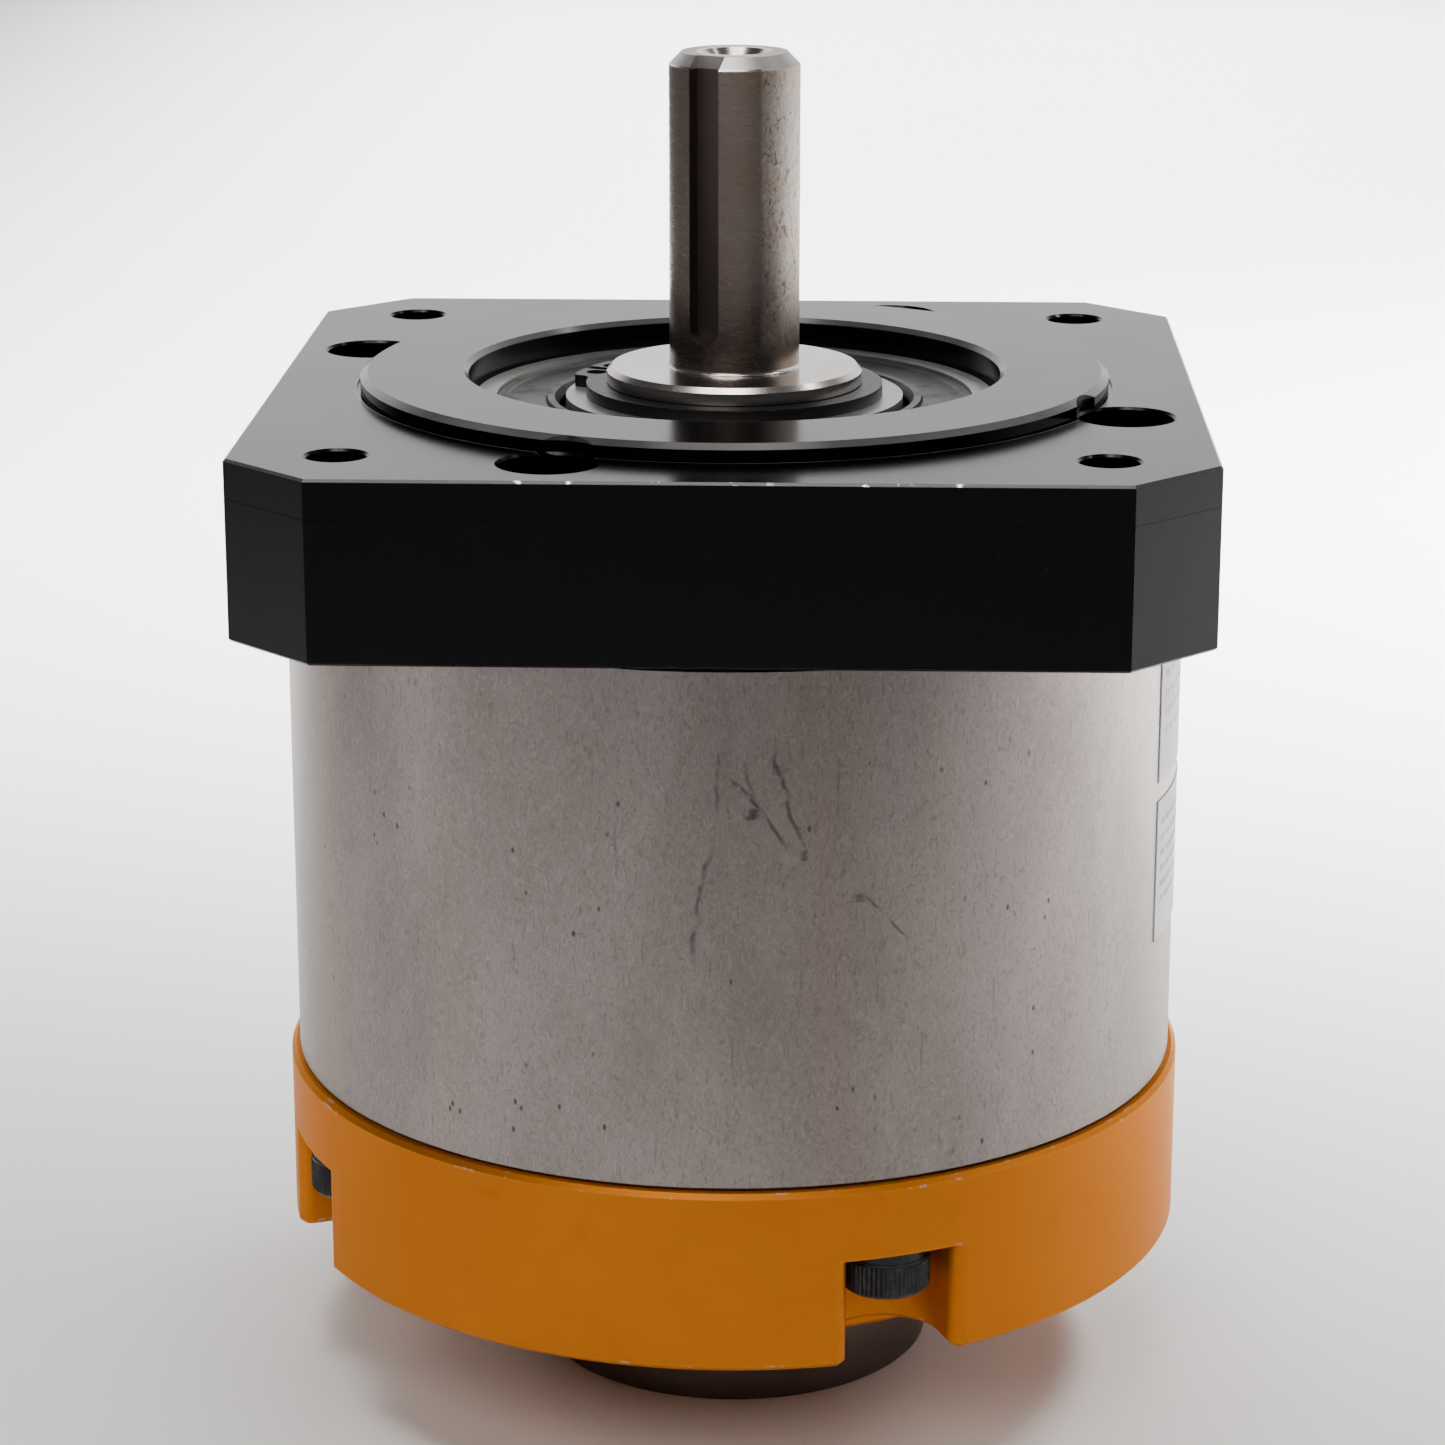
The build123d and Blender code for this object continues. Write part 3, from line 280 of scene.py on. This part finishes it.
def black_anodised():
    """Deep black anodising with a few specks, a painted highlight along its outer rim and turned edges, and
    rubbed bright nicks on the outer rim.
    """
    black, dust, bare_metal = (0.0014, 0.0014, 0.0017), (0.16, 0.15, 0.15), (0.55, 0.54, 0.52)
    look = Look("black_anodised", black, 0.0, 0.2, 0.15)
    x, y, height = look.split(look.coords)
    off_face = look.math("ABSOLUTE", height)
    fine = look.noise(look.coords, 2600.0, 2.0)
    patch = look.noise(look.coords, 60.0, 5.0)
    nicks = look.step(look.noise(look.coords, 420.0, 4.0), 0.62, 0.7)
    specks = look.times(look.dots(look.coords, 300.0, 0.02, 0.07), look.step(patch, 0.5, 0.62))
    # Painted highlight: a thin bare-metal line all along the outer rim stands in for the light on its edge,
    # with rubbed wear nicks on top of it.
    rim_wear_and_highlight = look.times(flange_rim(look, x, y, off_face), look.plus(0.12, look.times(nicks, 0.8)))
    # Painted highlight: a bare-metal tint along the pilot, recess and groove edges, stronger in patches,
    # stands in for the light on those edges.
    painted_turned_edge_highlight = look.times(turned_edges(look, x, y, height, off_face), look.step(patch, 0.3, 0.7, 0.12, 0.3))
    # Lighter edges: the painted highlight and the rubbed wear together, mixed towards bare metal.
    lighter_edges = look.larger(rim_wear_and_highlight, painted_turned_edge_highlight)
    look.color(look.mix(lighter_edges, look.stain(black, specks, 0.35, dust), bare_metal))
    look.metal(look.times(lighter_edges, 0.8))
    look.rough(look.plus(look.scaled(patch, 0.08, 0.12), look.times(fine, 0.05)))
    look.bump(fine, 0.004 * MM, 0.3)
    return look.material


# Scrawled marks on the ring gear housing: angle in degrees and height of the middle, lean, bend,
# half length, width and strength; lengths in mm
MARKS = (
    (-90.1, -27.5, 0.02, 0.02, 3.4, 0.30, 0.5),
    (-82.1, -29.3, -0.29, 0.02, 6.0, 0.36, 0.7),
    (-84.9, -30.5, -0.75, -0.03, 4.2, 0.34, 0.75),
    (-86.4, -28.0, -0.25, 0.06, 3.0, 0.26, 0.45),
    (-92.5, -39.4, 0.17, 0.02, 6.4, 0.32, 0.65),
    (-70.2, -40.9, -0.94, 0.05, 2.8, 0.34, 0.7),
    (-102.0, -34.3, 0.03, 0.03, 3.4, 0.26, 0.35),
    (-85.9, -30.6, 0.3, 0.0, 0.7, 0.8, 0.9),
    (-80.0, -34.6, 0.0, 0.0, 0.7, 0.7, 0.9),
    (-73.1, -39.0, 0.0, 0.0, 0.5, 0.6, 0.7),
)


def scrawl(look, x, z, mark):
    """A curved mark of the given place, lean, bend, size and strength."""
    degrees, height, lean, bend, half, width, strength = mark
    along = look.math("SUBTRACT", z, height * MM)
    centre = look.scaled(along, lean, HOUSING_RADIUS * math.radians(degrees))
    centre = look.scaled(look.times(along, along), bend / MM, centre)
    inside = look.times(look.band(along, 0.0, half * 0.5 * MM, half * 0.5 * MM), strength)
    return look.times(look.band(x, centre, 0.15 * width * MM, 0.85 * width * MM), inside)


def scrawls(look, flat):
    """All the marks, with an unsteady hand and gaps in the line."""
    x, _, z = look.split(flat)
    wavy = look.plus(x, look.scaled(look.noise(flat, 300.0, 2.0), 2.0 * MM, -1.0 * MM))
    marks = 0.0
    for mark in MARKS:
        marks = look.larger(marks, scrawl(look, wavy, z, mark))
    return look.times(marks, look.step(look.noise(flat, 600.0, 4.0), 0.3, 0.58))


def ground_steel():
    """Turned and ground housing, with stains, pits and a few scrawled marks."""
    clean, stained, brown = (0.27, 0.235, 0.222), (0.205, 0.175, 0.163), (0.23, 0.18, 0.14)
    pale_worm, dark_worm, hair = (0.4, 0.36, 0.34), (0.12, 0.1, 0.09), (0.1, 0.085, 0.078)
    pit, scratch = (0.05, 0.04, 0.035), (0.055, 0.05, 0.056)
    look = Look("ground_steel", (0.24, 0.205, 0.19), 1.0, 0.34)
    flat = look.around()
    grain = look.noise(look.stretched(flat, (0.35, 1.0, 1.0)), 3600.0, 3.0)
    worms = look.noise(look.stretched(flat, (1.0, 1.0, 0.55)), 1500.0, 3.0, 0.65, 2.2)
    hairs = look.noise(look.stretched(flat, (1.0, 1.0, 0.12)), 2400.0, 2.0, 0.5, 0.6)
    stain = look.noise(look.stretched(flat, (1.0, 1.0, 0.4)), 42.0, 6.0, 0.62, 0.4)
    cloud = look.noise(look.stretched(flat, (1.0, 1.0, 0.15)), 20.0, 3.0)
    pits = look.dots(look.stretched(flat, (1.0, 1.0, 0.6)), 520.0, 0.05, 0.13)
    pitted = look.times(pits, look.step(look.noise(flat, 90.0, 3.0), 0.48, 0.6))
    base = look.mix(look.step(stain, 0.35, 0.68), clean, stained)
    base = look.stain(base, look.step(cloud, 0.5, 0.66), 0.55, brown)
    base = look.stain(base, look.step(worms, 0.5, 0.66), 0.22, pale_worm)
    base = look.stain(base, look.step(worms, 0.46, 0.34), 0.4, dark_worm)
    base = look.stain(base, look.step(hairs, 0.64, 0.72), 0.35, hair)
    base = look.stain(base, pitted, 0.85, pit)
    look.color(look.mix(scrawls(look, flat), base, scratch))
    look.rough(look.plus(look.scaled(stain, 0.16, 0.22), look.times(grain, 0.08)))
    height = look.plus(look.times(grain, 0.5), look.times(worms, 0.6))
    look.bump(look.math("SUBTRACT", height, pitted), 0.014 * MM, 0.45)
    look.brushed(0.5)
    return look.material


def orange_anodised():
    """Satin orange anodising, with a painted highlight that makes it a little lighter on its edges, and
    chipped there in places.
    """
    light, deep, sparkle = (0.54, 0.158, 0.009), (0.47, 0.134, 0.007), (0.64, 0.215, 0.016)
    blotch, painted_edge_highlight, bare_metal = (0.4, 0.11, 0.005), (0.7, 0.28, 0.03), (0.62, 0.6, 0.56)
    look = Look("orange_anodised", (0.56, 0.165, 0.006), 0.55, 0.45, 0.1)
    look.shader.inputs["Specular Tint"].default_value = (1.0, 0.65, 0.35, 1.0)
    grain = look.noise(look.coords, 3400.0, 2.0)
    soft = look.noise(look.coords, 240.0, 4.0)
    cloud = look.noise(look.coords, 30.0, 3.0)
    edge = look.edges(0.5 * MM)
    chips = look.times(edge, look.step(look.noise(look.coords, 430.0, 3.0), 0.6, 0.66))
    base = look.mix(look.step(cloud, 0.3, 0.7), light, deep)
    base = look.stain(base, grain, 0.3, sparkle)
    base = look.stain(base, look.step(soft, 0.62, 0.8), 0.35, blotch)
    # Painted highlight: every edge is tinted a paler orange.
    base = look.stain(base, edge, 0.35, painted_edge_highlight)
    look.color(look.mix(chips, base, bare_metal))
    look.rough(look.scaled(grain, 0.16, 0.34))
    look.bump(grain, 0.01 * MM, 0.5)
    return look.material


def shaft_steel():
    """Hardened shaft: dark with a brown cast, pitted on one side, bright on its chamfer and collar, with
    painted shade in its keyway.
    """
    dark, brown, keyway_painted_shade = (0.255, 0.208, 0.19), (0.245, 0.186, 0.15), (0.13, 0.105, 0.095)
    side_tone, pale_pit, dark_pit = (0.3, 0.262, 0.23), (0.38, 0.335, 0.29), (0.08, 0.062, 0.05)
    rust_tone, bright_tone, dull_tone = (0.34, 0.19, 0.1), (0.56, 0.53, 0.51), (0.5, 0.46, 0.43)
    look = Look("shaft_steel", (0.2, 0.165, 0.15), 1.0, 0.25)
    x, y, z = look.split(look.coords)
    angle = look.math("ARCTAN2", y, x)
    radius = look.radius(x, y)
    streak = look.noise(look.stretched(look.coords, (1.0, 1.0, 6.0)), 700.0, 3.0)
    tint = look.noise(look.coords, 160.0, 5.0)
    worms = look.noise(look.stretched(look.coords, (1.0, 1.0, 0.7)), 1300.0, 3.0, 0.6, 1.8)
    side = look.times(look.band(angle, PITTED_ANGLE, PITTED_HALF, 0.08),
                      look.step(z, PITTED_FOOT, PITTED_FOOT + 3.5 * MM))
    bright = look.larger(look.step(z, COLLAR_TOP, COLLAR_TOP + 0.15 * MM, 1.0, 0.0),
                         look.step(z, CHAMFER_FOOT, CHAMFER_FOOT + 0.15 * MM))
    plain = look.math("SUBTRACT", 1.0, bright)
    in_slot = look.times(look.step(radius, KEYWAY_INNER, KEYWAY_INNER + 0.2 * MM),
                         look.step(z, KEYWAY_FOOT, KEYWAY_FOOT + 0.5 * MM))
    keyway = look.times(look.step(radius, KEYWAY_OUTER - 0.15 * MM, KEYWAY_OUTER, 1.0, 0.0), in_slot)
    rust = look.times(look.step(look.noise(look.coords, 330.0, 5.0), 0.56, 0.7),
                      look.step(z, RUST_FOOT, RUST_FULL))
    base = look.mix(look.step(tint, 0.35, 0.7), dark, brown)
    base = look.stain(base, side, 0.5, side_tone)
    base = look.stain(base, side, look.step(worms, 0.5, 0.62, 0.0, 0.7), pale_pit)
    base = look.stain(base, side, look.step(worms, 0.42, 0.36, 0.0, 0.75), dark_pit)
    base = look.stain(base, rust, 0.35, rust_tone)
    # Painted shade: the keyway is darkened to stand in for the shade in the slot.
    base = look.mix(keyway, base, keyway_painted_shade)
    ends = look.mix(look.step(tint, 0.4, 0.7), bright_tone, dull_tone)
    look.color(look.mix(bright, base, ends))
    gloss = look.scaled(look.larger(side, keyway), 0.2, 0.2)
    look.rough(look.plus(gloss, look.times(look.times(streak, plain), 0.14)))
    height = look.plus(streak, look.times(look.times(worms, side), 1.2))
    look.bump(look.times(height, plain), 0.006 * MM, 0.4)
    look.brushed(0.4)
    return look.material


def turned_steel(name, dark, light, roughness):
    """Plain turned steel with fine rings and a mild tarnish."""
    tarnish = (0.08, 0.06, 0.05)
    look = Look(name, dark, 1.0, roughness)
    rings = look.noise(look.stretched(look.coords, (1.0, 1.0, 8.0)), 900.0, 3.0)
    cloud = look.noise(look.coords, 90.0, 5.0)
    spots = look.dots(look.coords, 330.0, 0.05, 0.14)
    base = look.mix(look.step(cloud, 0.3, 0.7), dark, light)
    look.color(look.stain(base, spots, 0.25, tarnish))
    look.rough(look.scaled(rings, 0.14, roughness - 0.05))
    look.bump(rings, 0.006 * MM, 0.4)
    look.brushed(0.3)
    return look.material


def black_oxide():
    """Blackened steel, worn to grey on its edges."""
    black, worn_grey = (0.018, 0.018, 0.02), (0.16, 0.15, 0.14)
    look = Look("black_oxide", (0.02, 0.02, 0.021), 0.6, 0.38)
    fine = look.noise(look.coords, 2200.0, 3.0)
    lighter_edges = look.times(look.edges(0.2 * MM), look.step(look.noise(look.coords, 1200.0, 3.0), 0.45, 0.65))
    look.color(look.stain(black, lighter_edges, 0.45, worn_grey))
    look.rough(look.scaled(fine, 0.2, 0.3))
    look.bump(fine, 0.01 * MM, 0.4)
    return look.material


def rubber():
    """Black seal rubber with some dust."""
    black, dusty = (0.028, 0.028, 0.029), (0.1, 0.095, 0.09)
    look = Look("black_rubber", (0.03, 0.03, 0.031), 0.0, 0.5)
    fine = look.noise(look.coords, 1500.0, 4.0)
    dust = look.step(look.noise(look.coords, 420.0, 5.0), 0.5, 0.75)
    look.color(look.stain(black, dust, 0.35, dusty))
    look.rough(look.scaled(dust, 0.25, 0.38))
    look.bump(fine, 0.01 * MM, 0.4)
    return look.material


def polymer():
    """Tan moulded plastic of the bearing cages."""
    light, dark = (0.34, 0.27, 0.15), (0.24, 0.19, 0.11)
    look = Look("cage_polymer", (0.3, 0.24, 0.14), 0.0, 0.45)
    cloud = look.noise(look.coords, 300.0, 4.0)
    look.color(look.mix(cloud, light, dark))
    look.rough(look.scaled(cloud, 0.2, 0.35))
    look.bump(cloud, 0.01 * MM, 0.3)
    return look.material


def bronze():
    """Porous bearing bronze."""
    light, dark, pore = (0.55, 0.36, 0.17), (0.42, 0.27, 0.13), (0.2, 0.12, 0.06)
    look = Look("bronze", (0.5, 0.34, 0.16), 1.0, 0.4)
    pores = look.dots(look.coords, 1800.0, 0.1, 0.3)
    cloud = look.noise(look.coords, 200.0, 4.0)
    look.color(look.stain(look.mix(cloud, light, dark), pores, 0.5, pore))
    look.rough(look.scaled(cloud, 0.2, 0.3))
    look.bump(pores, 0.01 * MM, -0.4)
    return look.material


def dashes(look, low, high):
    """1 on the rows of dashes that stand in for print, 0 in the gaps and margins."""
    x, _, z = look.split(look.around())
    middle = (low.z + high.z) / 2
    half = (high.z - low.z) / 2
    row = look.math("DIVIDE", look.math("SUBTRACT", high.z, z), (high.z - low.z) / LABEL_ROWS)
    row_number = look.math("FLOOR", row)
    in_row = look.band(look.math("FRACT", row), 0.5, 0.16, 0.04)
    words = look.noise(look.join(look.times(x, 900.0), row_number, 0.0), 1.0, 1.0)
    used = look.noise(look.join(row_number, 3.7, 0.0), 1.9, 0.0)
    inside = look.times(look.band(z, middle, half - END_MARGIN, 0.1 * MM),
                        look.step(x, PRINT_START, PRINT_FULL))
    printed = look.times(look.step(used, 0.44, 0.46), inside)
    return look.times(look.times(in_row, look.step(words, 0.42, 0.46)), printed)


def label_film(name, box):
    """Matt white film with rows of grey dashes in place of print."""
    white, grimy, ink_grey = (0.88, 0.88, 0.87), (0.7, 0.67, 0.62), (0.08, 0.08, 0.09)
    look = Look(name, white, 0.0, 0.55)
    grime = look.step(look.noise(look.coords, 160.0, 5.0), 0.45, 0.8)
    film = look.stain(white, grime, 0.25, grimy)
    look.color(look.stain(film, dashes(look, *box), 0.85, ink_grey))
    look.rough(look.scaled(grime, 0.15, 0.45))
    look.bump(look.noise(look.coords, 500.0, 3.0), 0.01 * MM, 0.3)
    return look.material


def slot_materials():
    return {
        "black_anodised": black_anodised(),
        "ground_steel": ground_steel(),
        "orange_anodised": orange_anodised(),
        "shaft_steel": shaft_steel(),
        "machined_steel": turned_steel("machined_steel", (0.4, 0.39, 0.38), (0.5, 0.48, 0.46), 0.32),
        "collar_steel": turned_steel("collar_steel", (0.1, 0.078, 0.066), (0.14, 0.11, 0.095), 0.42),
        "gear_steel": turned_steel("gear_steel", (0.38, 0.37, 0.36), (0.48, 0.47, 0.46), 0.28),
        "bearing_steel": turned_steel("bearing_steel", (0.56, 0.54, 0.52), (0.64, 0.62, 0.6), 0.4),
        "black_oxide": black_oxide(),
        "bronze": bronze(),
        "cage_polymer": polymer(),
        "black_rubber": rubber(),
    }


def dress(node, material):
    """Puts a material on every slot of a CAD node."""
    mesh = NODES[node].data
    mesh.materials.clear()
    mesh.materials.append(material)


def dress_all():
    materials = slot_materials()
    for part in frame["record"]["subparts"]:
        node = part["node"]
        if node in LABEL_BOXES:
            dress(node, label_film(node + "_film", LABEL_BOXES[node]))
        else:
            dress(node, materials[part["material_slot"]])


# ---------------------------------------------------------------- stage, light and camera

def floor():
    """A wide pale floor under the object."""
    mesh = bpy.data.meshes.new("floor")
    corners = [(x * FLOOR_REACH, y * FLOOR_REACH, FLOOR_Z) for x, y in ((-1, -1), (1, -1), (1, 1), (-1, 1))]
    mesh.from_pydata(corners, [], [(0, 1, 2, 3)])
    plane = bpy.data.objects.new("floor", mesh)
    bpy.context.scene.collection.objects.link(plane)
    pale, pale_too = (0.9, 0.9, 0.9), (0.88, 0.88, 0.88)
    look = Look("floor", pale, 0.0, 0.7, 0.2)
    look.color(look.mix(look.noise(look.coords, 8.0, 2.0), pale, pale_too))
    mesh.materials.append(look.material)


def softbox(name, place, target, size, power, spread=180.0, tint=WHITE):
    """A rectangular light that points from its place at a target, with its spread in degrees."""
    light = bpy.data.lights.new(name, "AREA")
    light.shape = "RECTANGLE"
    light.size, light.size_y = size
    light.energy = power
    light.spread = math.radians(spread)
    light.color = tint
    holder = bpy.data.objects.new(name, light)
    holder.location = place
    direction = Vector(target) - Vector(place)
    holder.rotation_euler = direction.to_track_quat("-Z", "Y").to_euler()
    bpy.context.scene.collection.objects.link(holder)


def eased(tree, value, limits):
    """Eases from the third limit to the fourth as a value passes from the first to the second."""
    made = tree.nodes.new("ShaderNodeMapRange")
    made.interpolation_type = "SMOOTHSTEP"
    for socket, limit in zip(list(made.inputs)[1:5], limits):
        socket.default_value = limit
    tree.links.new(value, made.inputs["Value"])
    return made.outputs["Result"]


def studio_world():
    """A bright wall low down behind the object and to its right, and a dark room in front and overhead."""
    world = bpy.data.worlds.new("studio")
    world.use_nodes = True
    tree = world.node_tree
    background = tree.nodes["Background"]
    background.inputs["Color"].default_value = (*WHITE, 1.0)
    direction = tree.nodes.new("ShaderNodeTexCoord").outputs["Generated"]
    facing = tree.nodes.new("ShaderNodeVectorMath")
    facing.operation = "DOT_PRODUCT"
    facing.inputs[1].default_value = WALL_DIRECTION
    split = tree.nodes.new("ShaderNodeSeparateXYZ")
    tree.links.new(direction, facing.inputs[0])
    tree.links.new(direction, split.inputs[0])
    strength = tree.nodes.new("ShaderNodeMath")
    strength.operation = "MULTIPLY_ADD"
    strength.inputs[2].default_value = ROOM_LIGHT
    tree.links.new(eased(tree, facing.outputs["Value"], WALL_RANGE), strength.inputs[0])
    tree.links.new(eased(tree, split.outputs["Z"], WALL_HEIGHT), strength.inputs[1])
    tree.links.new(strength.outputs[0], background.inputs["Strength"])
    bpy.context.scene.world = world


def lights():
    """Softboxes that mostly light the floor, because the steel shows what the floor does."""
    softbox("back_softbox", place=(0.05, 0.78, 0.5), target=(0.05, 0.78, FLOOR_Z),
            size=(0.6, 1.2), power=14.0, spread=45.0)
    softbox("right_softbox", place=(0.62, 0.42, 0.5), target=(0.46, 0.34, FLOOR_Z),
            size=(0.5, 0.6), power=10.5, spread=50.0)
    softbox("front_softbox", place=(-0.2, -0.8, 0.6), target=(0.0, 0.0, -0.06),
            size=(0.6, 0.5), power=0.54, spread=60.0, tint=WARM)
    softbox("top_softbox", place=(0.0, -0.08, 0.9), target=(0.0, -0.08, 0.0),
            size=(0.35, 0.5), power=1.7)
    softbox("pool_softbox", place=(0.0, -0.16, 0.55), target=(0.0, -0.12, FLOOR_Z),
            size=(0.16, 0.1), power=0.03, spread=32.0)
    softbox("left_softbox", place=(-0.3, -0.1, 0.5), target=(-0.27, -0.1, FLOOR_Z),
            size=(0.25, 0.4), power=0.42, spread=40.0)
    softbox("far_softbox", place=(0.0, -2.3, 1.2), target=(0.0, -2.4, FLOOR_Z),
            size=(3.0, 1.0), power=34.0, spread=60.0)
    studio_world()


def camera():
    data = bpy.data.cameras.new("camera")
    data.lens = CAMERA_LENS
    data.sensor_width = CAMERA_SENSOR
    data.clip_start, data.clip_end = CAMERA_CLIP
    holder = bpy.data.objects.new("camera", data)
    holder.location = CAMERA_PLACE
    holder.rotation_euler = CAMERA_TURN
    bpy.context.scene.collection.objects.link(holder)
    bpy.context.scene.camera = holder


dress_all()
floor()
lights()
camera()
